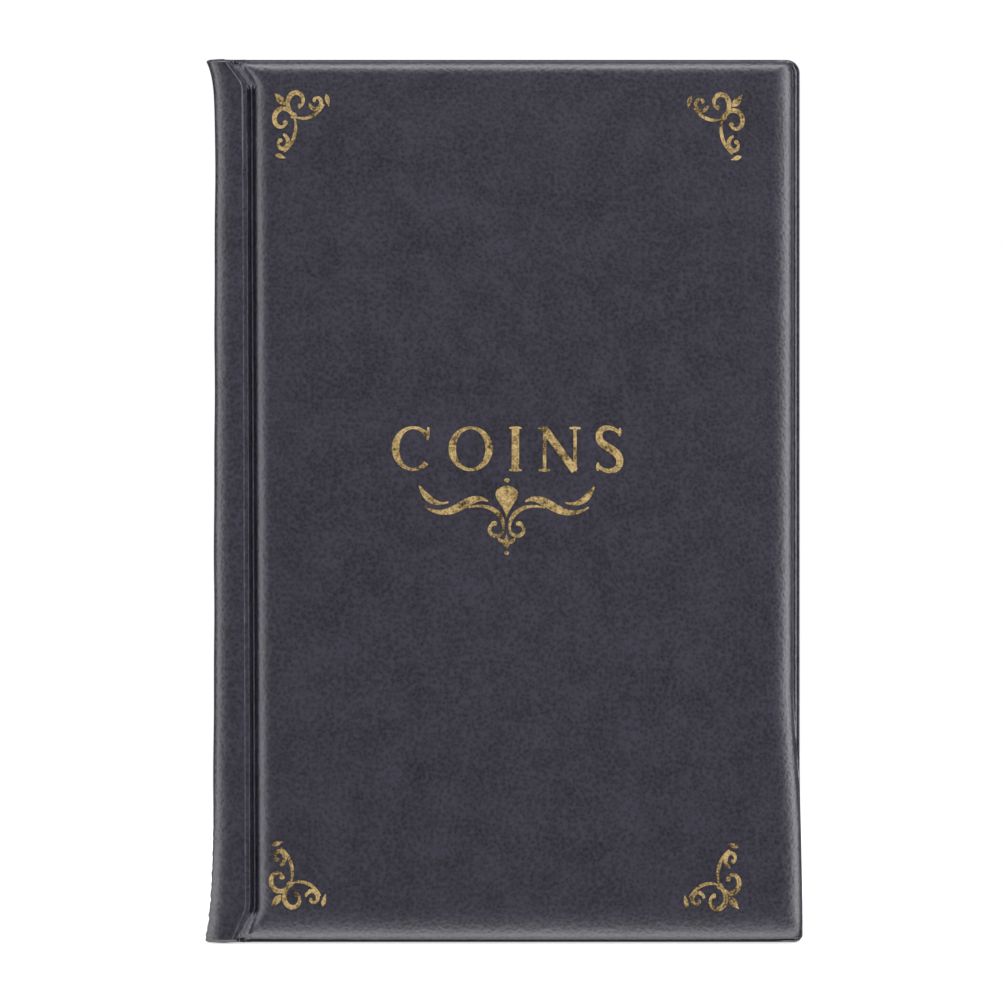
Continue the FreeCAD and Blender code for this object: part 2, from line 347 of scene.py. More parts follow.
def rounded_corners(x, z):
    """Rounds the two fore-edge corners of a cover's grid."""
    for radius, end, way in ((CORNER_HEAD, HEIGHT, 1), (CORNER_TAIL, 0, -1)):
        across, along, inside = round_corner(x - (FORE - radius), (z - end) * way + radius)
        x = np.where(inside, FORE - radius + across, x)
        z = np.where(inside, end + (along - radius) * way, z)
    return x, z


def four_round_corners(x, z, low, high, radius):
    """Rounds all four corners of a grid that fills the box from low to high."""
    middle = (low + high) / 2
    half = (high - low) / 2 - radius
    way_x, way_z = np.sign(x - middle[0]), np.sign(z - middle[2])
    across, along, inside = round_corner(np.abs(x - middle[0]) - half[0], np.abs(z - middle[2]) - half[2])
    x = np.where(inside, middle[0] + way_x * (half[0] + across), x)
    z = np.where(inside, middle[2] + way_z * (half[2] + along), z)
    return x, z


# Meshes

def points(x, y, z):
    return np.stack(np.broadcast_arrays(x, y, z), axis=-1)


def add_mesh(name, vertices, faces):
    """A smooth shaded mesh from millimetres, with its faces turned outwards."""
    data = bpy.data.meshes.new(name)
    data.from_pydata((np.asarray(vertices) * M).tolist(), [], faces)
    made = bmesh.new()
    made.from_mesh(data)
    bmesh.ops.recalc_face_normals(made, faces=made.faces)
    for edge in made.edges:
        edge.smooth = edge.calc_face_angle(0) < SHARP
    made.to_mesh(data)
    made.free()
    data.shade_smooth()
    piece = bpy.data.objects.new(name, data)
    bpy.context.scene.collection.objects.link(piece)
    return piece


def shell_parts(outer, inner, first=0):
    """Vertices and faces of a closed sheet between two grids of points of the same size."""
    rows, columns = outer.shape[:2]
    vertices = np.concatenate([outer.reshape(-1, 3), inner.reshape(-1, 3)])
    layer = rows * columns
    corner = np.arange(layer).reshape(rows, columns) + first
    a, b, c, d = corner[:-1, :-1], corner[:-1, 1:], corner[1:, 1:], corner[1:, :-1]
    top = np.stack([a, b, c, d], axis=-1).reshape(-1, 4)
    faces = [top, top[:, ::-1] + layer]
    border = np.concatenate([corner[0], corner[1:, -1], corner[-1, -2::-1], corner[-2:0:-1, 0]])
    following = np.roll(border, -1)
    faces.append(np.stack([following, border, border + layer, following + layer], axis=-1))
    return vertices, np.concatenate(faces).tolist()


def shell(name, outer, inner, weld=None):
    """A closed sheet. weld is 1 where a grid of skin is pressed flat, and its material reads it."""
    piece = add_mesh(name, *shell_parts(outer, inner))
    if weld is not None:
        values = piece.data.attributes.new("weld", "FLOAT", "POINT").data
        values.foreach_set("value", np.concatenate([weld.ravel(), weld.ravel()]))
    return piece


def pressed(height):
    """1 where the skin is pressed flat, well below the strip's face."""
    return smooth((STRIP - 0.4 - np.abs(height)) / 0.8)


def several_shells(name, pairs):
    """One mesh of separate closed sheets."""
    vertices, faces, first = [], [], 0
    for outer, inner in pairs:
        more, sides = shell_parts(outer, inner, first)
        vertices.append(more)
        faces += sides
        first += len(more)
    return add_mesh(name, np.concatenate(vertices), faces)


# Covers

def cover_grid():
    """The u and z of the skin's grid, fine where it bends and coarse on the flat."""
    foot, flat_left, flat_right = PAD_LEFT + 0.3, PAD_LEFT + 5.3, PAD_RIGHT - 6
    u = joined(
        crowded(SPLIT, foot, 30),
        crowded(foot, flat_left, 20, 1.5),
        crowded(flat_left, flat_right, 50),
        crowded(PAD_RIGHT, flat_right, 26, 1.5)[::-1],
        crowded(PAD_RIGHT, FORE, 24),
    )
    rim, flat = 0.8, 10
    end = joined(crowded(0, rim, 10), crowded(rim, flat, 34, 1.5))
    z = joined(end, crowded(flat, HEIGHT - flat, 84), HEIGHT - end[::-1])
    return np.meshgrid(u, z)


def cover_skin(side, name):
    u, z = cover_grid()
    x, rounded_z = cover_outline(pulled(u, z), z)
    height = face_height(u, z)
    outer = points(x, side * height, rounded_z)
    inner = points(x, side * under_height(u, z), rounded_z)
    piece = shell(name + "_padded_skin", outer, inner, pressed(height))
    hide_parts(name + "_cover_skin", name + "_hinge_skin")
    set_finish(piece, "leatherette")
    bend_at_groove(piece)


def bend_at_groove(piece):
    """Bakes a piece's transform into its mesh."""
    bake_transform(piece)


def cover_foam(side, name):
    """The foam sheet, as large as the board and pressed to the skin's underside."""
    gap = 0.1
    u, z = np.meshgrid(
        np.linspace(board_low[0], board_high[0], 70),
        np.linspace(board_low[2], board_high[2], 110),
    )
    u, z = four_round_corners(u, z, board_low, board_high, 3.0)
    top = np.maximum(under_height(u, z) - gap, BOARD_TOP + gap)
    piece = shell(name + "_foam_sheet", points(u, side * top, z), points(u, side * BOARD_TOP, z))
    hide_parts(name + "_cover_foam")
    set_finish(piece, "foam")
    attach(piece, name + "_cover")


def cover_lining(side, name):
    """The lining sheet. It lies in the cover, lines the hinge's channel, and ends on the spine's lining."""
    flat_left, flat_right, flat = PAD_LEFT + 1.6, PAD_RIGHT - 4, 6
    u = joined(
        crowded(SPLIT - 1.0, flat_left, 34),
        crowded(flat_left, flat_right, 40),
        crowded(flat_right, FORE, 30),
    )
    z = joined(crowded(0, flat, 24), crowded(flat, HEIGHT - flat, 60), crowded(HEIGHT - flat, HEIGHT, 24))
    u, z = np.meshgrid(u, z)
    edge = np.minimum(FORE - u, end_distance(z))
    channel = smooth((u - CHANNEL_START) / CHANNEL_SLOPE) * smooth((CHANNEL_END - u) / CHANNEL_SLOPE)
    channel *= smooth((end_distance(z) - 0.6) / 1.6)
    spine_side = smooth((SPLIT + 0.3 - u) / 0.6)
    lift = np.maximum(CHANNEL_LIFT * channel, SPINE_LIFT * spine_side)
    weld = sum(height * bump(edge, place, width) for height, place, width in LINING_WELDS)
    inner_height = LINING[0] + lift + weld * (1 - channel)
    outer_height = np.maximum(LINING[1] + lift - LINING_GAP, inner_height + LINING_LEAST)
    x, z = cover_outline(u, z)
    piece = shell(
        name + "_lining_sheet",
        points(x, side * outer_height, z),
        points(x, side * inner_height, z),
    )
    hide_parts(name + "_cover_lining")
    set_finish(piece, "lining")
    bend_at_groove(piece)


# Spine

def spine_face(z):
    """The X of the spine's outer face, which flares where the skin is welded flat at head and tail."""
    depth = FLARE_TAIL_DEPTH + (FLARE_HEAD_DEPTH - FLARE_TAIL_DEPTH) * z / HEIGHT
    head = 1 - np.exp(-(HEIGHT - z) / FLARE_HEAD)
    tail = 1 - np.exp(-z / FLARE_TAIL)
    waves = wavering(z, FACE_WAVES) * smooth(end_distance(z) / FACE_WAVES_FADE)
    return CORNER_X + depth * head * tail + waves


def wavering(z, waves):
    """A sum of sine waves along the spine."""
    return sum(height * np.sin(z * rate + start) for height, rate, start in waves)


def spine_waves(z):
    """How far the spine's two edges waver towards the tail."""
    return wavering(z, EDGE_WAVES) * smooth(1 - z / EDGE_WAVES_LENGTH) * smooth(z / 2)


def spine_skin():
    """The skin from the front groove round the spine to the back groove."""
    end = joined(crowded(0, 2, 14), crowded(2, 14, 26))
    z = joined(end, crowded(14, 40, 50), crowded(40, HEIGHT - 14, 70), HEIGHT - end[::-1])
    strip = joined(
        crowded(SPLIT, SPLIT - 1.6, 16),
        crowded(SPLIT - 1.6, SPINE_X + SPINE_ROUND_X, 14),
    )
    outer = np.array([spine_row(level, strip, 0) for level in z])
    inner = np.array([spine_row(level, strip, SKIN) for level in z])
    on_strips = np.abs(outer[..., 1]) > STRIP - 2
    piece = shell("spine_wrap", outer, inner, pressed(outer[..., 1]) * on_strips)
    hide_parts("spine_skin")
    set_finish(piece, "leatherette")
    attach(piece, "spine")


def spine_row(z, strip, inset):
    """One row of points round the spine at one height, from the front groove to the back groove."""
    waves = spine_waves(z)
    face = spine_face(z) + waves
    turned_in = TURN_IN * (1 - rise(end_distance(z), TURN_IN_LENGTH, 2.0))
    moved = (face - SPINE_X) * smooth((FLARE_START - strip) / FLARE_WIDTH)
    height = face_height(strip, z) - inset
    front = np.stack([pulled(strip, np.full_like(strip, z)) + moved, height], axis=-1)
    angles = np.linspace(0, math.pi / 2, 24)[1:]
    piping = PIPING * bump(angles, PIPING_ANGLE, PIPING_WIDTH) * smooth(1 - z / PIPING_LENGTH)
    round_x, round_y = SPINE_ROUND_X - inset, SPINE_ROUND_Y - inset
    shoulder = height[-1] - round_y
    arc_x = face + SPINE_ROUND_X + (turned_in - round_x - piping) * np.sin(angles)
    arc_y = shoulder + (round_y + piping) * np.cos(angles)
    wall = np.linspace(-1, 1, 15)[1:-1]
    side_x = face - waves * (1 - wall**8) + turned_in + inset
    half = np.concatenate([front, np.stack([arc_x, arc_y], axis=-1)])
    middle = np.stack([side_x, -wall * shoulder], axis=-1)
    path = np.concatenate([half, middle, (half * [1, -1])[::-1]])
    if inset:
        path += (closed_end(path) - path) * (1 - smooth((end_distance(z) - END_WELD) / END_WELD_SLOPE))
    return np.stack([path[:, 0], -path[:, 1], np.full(len(path), z)], axis=-1)


def closed_end(path):
    """The inside of the spine's skin where it is welded to the lining, over the ends of the boards."""
    x = smooth_max(path[:, 0], BLOCK_FACE - 0.15, 0.3)
    across = np.abs(path[:, 1])
    capped = across - smooth_max(across - THROAT - 0.2, 0, 0.3)
    return np.stack([x, np.sign(path[:, 1]) * capped], axis=-1)


# Leaves

def leaf_body(number):
    return "leaf_%02d" % number


def weld_lines(low, high, count):
    """The places of the welds between equal pockets."""
    return np.linspace(low, high, count + 1)


def leaf_sheet(number):
    """A leaf's backing film, from its bound margin over the bending strip to the fore-edge."""
    name = leaf_body(number)
    low, high = node_box(name + "_sheet")
    pockets_low, pockets_high = node_box(name + "_pockets")
    u = joined(crowded(MARGIN_EDGE, PLATE_EDGE, 13), crowded(PLATE_EDGE, high[0], 61))
    z = np.linspace(low[2], high[2], 81)
    u, z = np.meshgrid(u, z)
    ribs = sum(bump(u, x, RIB_WIDTH) for x in weld_lines(pockets_low[0], pockets_high[0], COLUMNS))
    x, z = leaf_corners(u, z, low, high)
    back = points(x, high[1] + RIB * ribs, z)
    piece = shell(name + "_film", points(x, low[1], z), back)
    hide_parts(name + "_sheet", "leaf_hinge_films")
    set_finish(piece, "clear_film")
    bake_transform(piece)


def leaf_corners(x, z, low, high):
    """Rounds a leaf's two corners at the fore-edge."""
    middle = (low[2] + high[2]) / 2
    half = (high[2] - low[2]) / 2 - LEAF_CORNER
    across, along, inside = round_corner(x - (high[0] - LEAF_CORNER), np.abs(z - middle) - half)
    way = np.sign(z - middle)
    x = np.where(inside, high[0] - LEAF_CORNER + across, x)
    z = np.where(inside, middle + way * (half + along), z)
    return x, z


def pocket_row(low, high, bottom, top):
    """The front film of one row of pockets: slack over each pocket, and cut away for a thumb at its mouth."""
    welds = weld_lines(low[0], high[0], COLUMNS)
    u = joined(*[crowded(a, b, 17) for a, b in zip(welds[:-1], welds[1:])])
    t = np.linspace(0, 1, 11)
    u, t = np.meshgrid(u, t)
    width = welds[1] - welds[0]
    place = np.mod((u - welds[0]) / width, 1)
    notch = NOTCH * bump(place, 0.5, NOTCH_WIDTH)
    z = bottom + (top - notch - bottom) * t
    slack = SLACK * np.sin(math.pi * place) ** 2 * smooth(SLACK_RISE * t)
    return points(u, high[1] - 0.02 - slack, z), points(u, low[1] - slack, z)


def leaf_pockets(number):
    """The rows of pockets on the front of a leaf."""
    name = leaf_body(number)
    low, high = node_box(name + "_pockets")
    pitch = (high[2] - low[2] + POCKET_GAP) / ROWS
    bottoms = [low[2] + row * pitch for row in range(ROWS)]
    rows = [pocket_row(low, high, bottom, bottom + pitch - POCKET_GAP) for bottom in bottoms]
    piece = several_shells(name + "_pocket_films", rows)
    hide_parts(name + "_pockets")
    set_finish(piece, "clear_film")
    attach(piece, name)


# Gold stamping, each stroke a thin closed strip that follows the front cover

def stroke(centre, widths, lift):
    """A stroke along a centre line of (x, z), with its widths along it. Its ends may meet in a ring."""
    centre = np.asarray(centre, float)
    along = np.gradient(centre, axis=0)
    if np.allclose(centre[0], centre[-1]):
        along[0] = along[-1] = centre[1] - centre[-2]
    along /= np.maximum(np.linalg.norm(along, axis=1, keepdims=True), 1e-9)
    across = np.stack([-along[:, 1], along[:, 0]], axis=-1)
    shares = np.array([-0.5, -0.2, 0.2, 0.5])
    widths = STAMP_WEIGHT * np.broadcast_to(np.asarray(widths, float), len(centre))
    flat = centre[:, None] + across[:, None] * (widths[:, None] * shares)[..., None]
    x, z = flat[..., 0], flat[..., 1]
    height = face_height(x, z)
    return points(x, -height - lift, z), points(x, -height + FOIL_DEPTH, z)


def swelling(thin, thick, peak=0.5, count=40):
    """The widths of a stroke that is thickest at peak, a share of its length."""
    t = np.linspace(0, 1, count)
    return thin + (thick - thin) * np.sin(math.pi * t ** (math.log(0.5) / math.log(peak))) ** 1.3


def bezier(p0, p1, p2, p3, count=40):
    """A curve from p0 to p3, which leaves towards p1 and arrives from p2."""
    t = np.linspace(0, 1, count)[:, None]
    p0, p1, p2, p3 = [np.asarray(p, float) for p in (p0, p1, p2, p3)]
    return p0 * (1 - t) ** 3 + 3 * p1 * t * (1 - t) ** 2 + 3 * p2 * t**2 * (1 - t) + p3 * t**3


def line(start, end, count=12):
    """A straight row of points."""
    t = np.linspace(0, 1, count)[:, None]
    return np.asarray(start, float) * (1 - t) + np.asarray(end, float) * t


def turn(centre, radii, start, sweep, count=40):
    """A curve round a centre. Its radius runs from the first of radii to the second."""
    angle = np.radians(np.linspace(start, start + sweep, count))
    radius = np.linspace(radii[0], radii[1], count)
    return np.asarray(centre) + np.stack([radius * np.cos(angle), radius * np.sin(angle)], axis=-1)


def dot(centre, radius, count=17):
    """A round spot, as a short stroke with a circle's widths."""
    angle = np.linspace(0, math.pi, count)
    spine = np.stack([np.zeros(count), -radius * np.cos(angle)], axis=-1) + centre
    return spine, np.maximum(2 * radius * np.sin(angle), 0.04)


def leaf_shape(start, end, width, peak=0.4):
    """A pointed leaf, as a short stroke that swells."""
    return line(start, end, 24), swelling(0.08, width, peak, 24)


def tilted(path):
    """The whole stamping is turned a little clockwise on the cover."""
    middle = np.array([STAMP_X, HEIGHT / 2])
    c, s = math.cos(STAMP_TILT), math.sin(STAMP_TILT)
    return (np.asarray(path) - middle) @ np.array([[c, s], [-s, c]]) + middle


def stamped(name, node, strokes):
    """One piece of gold foil. Strokes that cross lie at slightly different heights."""
    strips = []
    for n, (path, widths) in enumerate(strokes):
        strips.append(stroke(tilted(path), widths, FOIL + FOIL_STEP * (n % FOIL_LEVELS)))
    piece = several_shells(name, strips)
    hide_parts(node)
    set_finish(piece, "gold_foil")
    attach(piece, "front_cover")


def serif(x, z, half=1.3):
    """A flat stroke across a stem's end."""
    return line((x - half, z), (x + half, z)), swelling(0.3, 0.5, 0.5, 12)


def spur(start, end):
    """An upright stroke at the end of a C or an S."""
    return line(start, end), swelling(0.3, 0.6, 0.5, 12)


def title_strokes():
    """The generic word COINS in upright roman capitals: thick and thin strokes with flat serifs."""
    low, high = node_box("title_foil")
    bottom, top = low[2], high[2]
    half = (top - bottom) / 2
    middle = (bottom + top) / 2
    stem, hair, wide = 1.3, 0.5, 0.86 * half
    c, o, i, n, s = [STAMP_X + offset for offset in (-22.2, -8.6, 2.0, 12.5, 24.2)]
    left, right = n - 3.6, n + 3.6
    return [
        (round_letter(c, middle, wide, half, 42, 276), round_widths(42, 276, hair, stem)),
        spur((c + wide * 0.76, middle + half * 0.38), (c + wide * 0.8, top - 0.1)),
        (round_letter(o, middle, wide * 1.04, half, 0, 360), round_widths(0, 360, hair, stem)),
        (line((i, bottom), (i, top)), stem),
        serif(i, bottom + 0.2, 1.5),
        serif(i, top - 0.2, 1.5),
        (line((left, bottom), (left, top)), hair + 0.1),
        (line((left - 0.2, top - 0.2), (right, bottom + 0.1)), stem),
        (line((right, bottom), (right, top)), hair + 0.1),
        serif(left, bottom + 0.2),
        serif(left - 0.6, top - 0.2, 0.9),
        serif(right, top - 0.2),
    ] + s_strokes(s, middle, half, hair, stem)


def round_letter(x, z, wide, half, start, sweep):
    """The centre line of a C or an O, from a start angle through a sweep."""
    angle = np.radians(np.linspace(start, start + sweep, 64))
    return np.stack([x + (wide - 0.3) * np.cos(angle), z + (half - 0.25) * np.sin(angle)], axis=-1)


def round_widths(start, sweep, hair, stem):
    """A round letter is thick at its sides and thin at its top and bottom."""
    angle = np.radians(np.linspace(start, start + sweep, 64))
    return hair + (stem - hair) * np.cos(angle) ** 2


def s_strokes(x, z, half, hair, stem):
    """The letter S: two bowls joined by a thick slope, with an upright stroke at each end."""
    bowl = half * 0.46
    upper = bezier((2.5, bowl * 1.5), (1.2, half * 1.12), (-3.2, half * 1.1), (-2.3, bowl))
    slope = bezier((-2.3, bowl), (-1.7, 0.5), (2.0, 0.1), (2.5, -bowl))
    lower = bezier((2.5, -bowl), (2.9, -half * 1.12), (-1.6, -half * 1.1), (-2.7, -bowl * 1.5))
    path = np.concatenate([upper, slope[1:], lower[1:]])
    strokes = [
        (path, swelling(hair, stem * 1.05, 0.5, len(path))),
        spur((2.45, bowl * 1.3), (2.5, half - 0.1)),
        spur((-2.7, -half + 0.1), (-2.65, -bowl * 1.3)),
    ]
    return placed(strokes, (x, z))


def placed(strokes, origin, x_way=1, z_way=1, stretch=1.0):
    """Strokes moved to an origin. A way of -1 mirrors them, and stretch makes them taller."""
    return [(path * [x_way, z_way * stretch] + origin, widths) for path, widths in strokes]


def flourish_strokes():
    """A drop between two long swelling sweeps and a pair of scrolls, with a dot above and below."""
    origin = (STAMP_X, node_box("flourish_foil")[0][2] + 1.6)
    half = [
        (bezier((4.4, 1.6), (9.0, 4.6), (12.4, -4.2), (19.4, 0.3)), swelling(0.3, 1.5, 0.45)),
        (bezier((13.8, 1.4), (16.8, 0.4), (19.0, 2.0), (20.7, 5.2)), swelling(0.3, 1.15, 0.62)),
        (bezier((9.0, 0.2), (3.6, 1.5), (0.4, -1.6), (0.75, -4.9)), swelling(0.35, 0.8, 0.6)),
        (turn((2.65, -4.9), (1.9, 1.1), 180, 290), swelling(0.4, 0.65, 0.4)),
        dot((2.95, -3.6), 0.55),
        (bezier((0.2, -8.3), (0.9, -7.9), (1.6, -7.8), (1.9, -7.0), 16), swelling(0.3, 0.75, 0.5, 16)),
    ]
    middle = [
        (line((0, 5.3), (0, -2.2), 40), drop_widths(0.5, 4.2, 40)),
        leaf_shape((0, -6.0), (0, -9.6), 1.3, 0.6),
        dot((0, 6.6), 0.5),
        dot((0, -10.6), 0.42),
    ]
    return placed(half, origin) + placed(half, origin, -1) + placed(middle, origin)


def drop_widths(thin, thick, count):
    """The widths of a drop that is thickest near its start and tapers to its end."""
    t = np.linspace(0, 1, count)
    return thin * (1 - t) + 0.12 + (thick - thin) * np.sin(math.pi * t**0.55) ** 1.5 * (1 - 0.25 * t)


def corner_strokes():
    """The same ornament in each corner: two scrolls on each side of a diagonal, with a leaf at its tip."""
    low, high = node_box("corner_foil")
    inset = 4.0
    reach_x = (high[0] - low[0]) / 2 - inset
    reach_z = (high[2] - low[2]) / 2 - inset
    side = [
        (turn((2.8, -0.8), (2.6, 1.1), 160, -300), swelling(0.45, 0.85, 0.35)),
        dot((2.0, -1.3), 0.45),
        (turn((2.8, -5.3), (1.7, 0.75), 100, 295), swelling(0.4, 0.75, 0.35)),
        dot((3.2, -4.8), 0.4),
        (bezier((-0.2, -0.5), (-0.9, -2.4), (-0.2, -5.4), (2.3, -7.1)), swelling(0.3, 0.6, 0.5)),
        leaf_shape((4.4, -7.6), (1.9, -8.3), 0.8),
    ]
    swapped = [(path[:, ::-1], widths) for path, widths in side]
    middle = [leaf_shape((2.2, 2.2), (4.6, 4.6), 1.25), dot((0.1, 0.1), 0.6)]
    strokes = []
    for x_way in (-1, 1):
        for z_way in (-1, 1):
            origin = (STAMP_X + x_way * reach_x, HEIGHT / 2 + z_way * reach_z)
            strokes += placed(side + swapped + middle, origin, x_way, z_way, 1.2)
    return strokes


# Materials

def add_node(tree, kind, inputs, **settings):
    """A shader node. An input is a value or another node's output."""
    made = tree.nodes.new(kind)
    for name, value in settings.items():
        setattr(made, name, value)
    for name, value in inputs.items():
        if isinstance(value, bpy.types.NodeSocket):
            tree.links.new(value, made.inputs[name])
        else:
            made.inputs[name].default_value = value
    return made


def new_material(name, **sockets):
    """A material and its node tree, shader and object coordinates. Sockets are set on the shader itself."""
    made = bpy.data.materials.new(name)
    made.use_nodes = True
    tree = made.node_tree
    shader = tree.nodes["Principled BSDF"]
    for socket, value in sockets.items():
        shader.inputs[socket.replace("_", " ")].default_value = value
    place = add_node(tree, "ShaderNodeTexCoord", {}).outputs["Object"]
    return made, tree, shader, place


def noise(tree, place, size, detail=3.0):
    """Noise with features of about this size in millimetres."""
    inputs = {"Vector": place, "Scale": 1 / (size * M), "Detail": detail}
    return add_node(tree, "ShaderNodeTexNoise", inputs).outputs["Fac"]


def pebbles(tree, place, size):
    """The distance to the middle of the nearest of many cells of about this size in millimetres."""
    inputs = {"Vector": place, "Scale": 1 / (size * M), "Smoothness": 0.6}
    return add_node(tree, "ShaderNodeTexVoronoi", inputs, feature="SMOOTH_F1").outputs["Distance"]


def mixed(tree, a, b, share=0.5):
    """A weighted sum of two values."""
    scaled = add_node(tree, "ShaderNodeMath", {0: a, 1: 1 - share}, operation="MULTIPLY").outputs[0]
    return add_node(tree, "ShaderNodeMath", {0: b, 1: share, 2: scaled}, operation="MULTIPLY_ADD").outputs[0]


def colours(tree, value, low, high, start=0.3, end=0.7):
    """A ramp from one colour at start to another at end."""
    ramp = add_node(tree, "ShaderNodeValToRGB", {"Fac": value})
    ramp.color_ramp.elements[0].position = start
    ramp.color_ramp.elements[1].position = end
    ramp.color_ramp.elements[0].color = (*low, 1)
    ramp.color_ramp.elements[1].color = (*high, 1)
    return ramp.outputs["Color"]


def ranged(tree, value, low, high, start=0.3, end=0.7):
    """A value that goes from low to high as another goes from start to end."""
    inputs = {"Value": value, "From Min": start, "From Max": end, "To Min": low, "To Max": high}
    return add_node(tree, "ShaderNodeMapRange", inputs).outputs["Result"]


def finish_material(tree, shader, colour, roughness, height, depth, strength=1.0):
    """Links a colour, a roughness and a relief of the given depth in millimetres to the shader."""
    bumped = add_node(tree, "ShaderNodeBump", {"Height": height, "Distance": depth * M, "Strength": strength})
    tree.links.new(colour, shader.inputs["Base Color"])
    tree.links.new(roughness, shader.inputs["Roughness"])
    tree.links.new(bumped.outputs["Normal"], shader.inputs["Normal"])


def leatherette():
    made, tree, shader, place = new_material("leatherette")
    grain = mixed(tree, pebbles(tree, place, 0.9), noise(tree, place, 0.6), 0.5)
    patches = mixed(tree, grain, noise(tree, place, 9.0, 4.0), 0.3)
    worn = add_node(tree, "ShaderNodeAttribute", {}, attribute_name="weld").outputs["Fac"]
    colour = colours(tree, patches, (0.0014, 0.0011, 0.0042), (0.0240, 0.0216, 0.0350), 0.30, 0.62)
    rough = ranged(tree, mixed(tree, patches, worn, 0.4), 0.44, 0.32, 0.2, 0.8)
    finish_material(tree, shader, colour, rough, grain, 0.12, 1.0)
    return made


def gold():
    made, tree, shader, place = new_material("gold_foil", Metallic=0.55)
    specks = mixed(tree, noise(tree, place, 0.5), noise(tree, place, 3.0), 0.5)
    colour = colours(tree, specks, (0.060, 0.034, 0.009), (0.66, 0.475, 0.205), 0.38, 0.62)
    rough = ranged(tree, specks, 0.5, 0.3)
    finish_material(tree, shader, colour, rough, pebbles(tree, place, 0.62), 0.03, 0.5)
    return made


def lining_vinyl():
    made, tree, shader, place = new_material("lining")
    grain = noise(tree, place, 0.5, 5.0)
    patches = mixed(tree, grain, noise(tree, place, 12.0), 0.6)
    colour = colours(tree, patches, (0.016, 0.016, 0.019), (0.030, 0.030, 0.035))
    finish_material(tree, shader, colour, ranged(tree, patches, 0.42, 0.58), grain, 0.02, 0.6)
    return made


def clear_film():
    made, tree, shader, place = new_material("clear_film", IOR=1.53)
    haze = noise(tree, place, 30.0, 3.0)
    colour = colours(tree, haze, (0.76, 0.79, 0.83), (0.84, 0.86, 0.89))
    ripples = mixed(tree, haze, noise(tree, place, 3.0), 0.1)
    finish_material(tree, shader, colour, ranged(tree, haze, 0.1, 0.16), ripples, 0.15, 0.4)
    tree.links.new(ranged(tree, haze, 0.13, 0.16), shader.inputs["Alpha"])
    return made


def fibre_board():
    made, tree, shader, place = new_material("greyboard")
    fibres = mixed(tree, noise(tree, place, 0.25, 6.0), noise(tree, place, 2.0), 0.4)
    colour = colours(tree, fibres, (0.20, 0.19, 0.17), (0.36, 0.34, 0.31))
    finish_material(tree, shader, colour, ranged(tree, fibres, 0.95, 0.8), fibres, 0.08)
    return made


def soft_foam():
    made, tree, shader, place = new_material("foam")
    cells = pebbles(tree, place, 0.4)
    colour = colours(tree, cells, (0.72, 0.71, 0.68), (0.42, 0.41, 0.39))
    finish_material(tree, shader, colour, ranged(tree, cells, 0.9, 1.0), cells, 0.15)
    return made


def spacer_plastic():
    made, tree, shader, place = new_material("spacer_plastic")
    grain = noise(tree, place, 0.4, 4.0)
    colour = colours(tree, grain, (0.020, 0.020, 0.022), (0.042, 0.042, 0.046))
    finish_material(tree, shader, colour, ranged(tree, grain, 0.55, 0.4), grain, 0.02)
    return made


def rivet_metal():
    made, tree, shader, place = new_material("rivet_metal", Metallic=1.0)
    marks = mixed(tree, noise(tree, place, 0.3, 5.0), noise(tree, place, 1.5), 0.5)
    colour = colours(tree, marks, (0.42, 0.40, 0.37), (0.62, 0.60, 0.56))
    finish_material(tree, shader, colour, ranged(tree, marks, 0.42, 0.25), marks, 0.02)
    return made


def dress(materials):
    """Gives every piece and every CAD node the material of its slot."""
    slots = {part["node"]: part["material_slot"] for part in frame["record"]["subparts"]}
    for piece in bpy.context.scene.objects:
        if piece.type != "MESH":
            continue
        name = piece.get("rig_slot") or slots.get(piece.name)
        piece.data.materials.clear()
        piece.data.materials.append(materials[name])


# Camera, light and floor

def make_camera():
    """Square on to the front cover. The picture shows its width halfway between the face and the rim."""
    data = bpy.data.cameras.new("camera")
    data.sensor_width = 36
    data.lens = 120
    width_shown = 0.2376
    right, up = -0.00048, 0.0001
    distance = width_shown * data.lens / data.sensor_width - (FACE - FLANGE) / 2 * M
    camera = bpy.data.objects.new("camera", data)
    bpy.context.scene.collection.objects.link(camera)
    camera.location = (right, -FACE * M - distance, HEIGHT / 2 * M + up)
    camera.rotation_euler = (math.pi / 2, 0, 0)
    bpy.context.scene.camera = camera


def area_light(name, place, width, height, power):
    """A rectangular light that faces the middle of the album."""
    data = bpy.data.lights.new(name, "AREA")
    data.shape = "RECTANGLE"
    data.size, data.size_y = width, height
    data.energy = power
    light = bpy.data.objects.new(name, data)
    bpy.context.scene.collection.objects.link(light)
    light.location = place
    light.rotation_euler = (Vector((0, 0, 0.1)) - Vector(place)).to_track_quat("-Z", "Y").to_euler()
    return light


def make_lights():
    """Soft lights at the right and above, and one behind that only fills."""
    area_light("right", (0.9, -0.35, 0.15), 0.4, 1.0, 6.0)
    area_light("top", (0, -0.3, 1.0), 0.9, 0.4, 5.0)
    behind = area_light("behind", (-0.4, 1.0, 0.5), 1.0, 1.0, 12.0)
    behind.visible_glossy = False


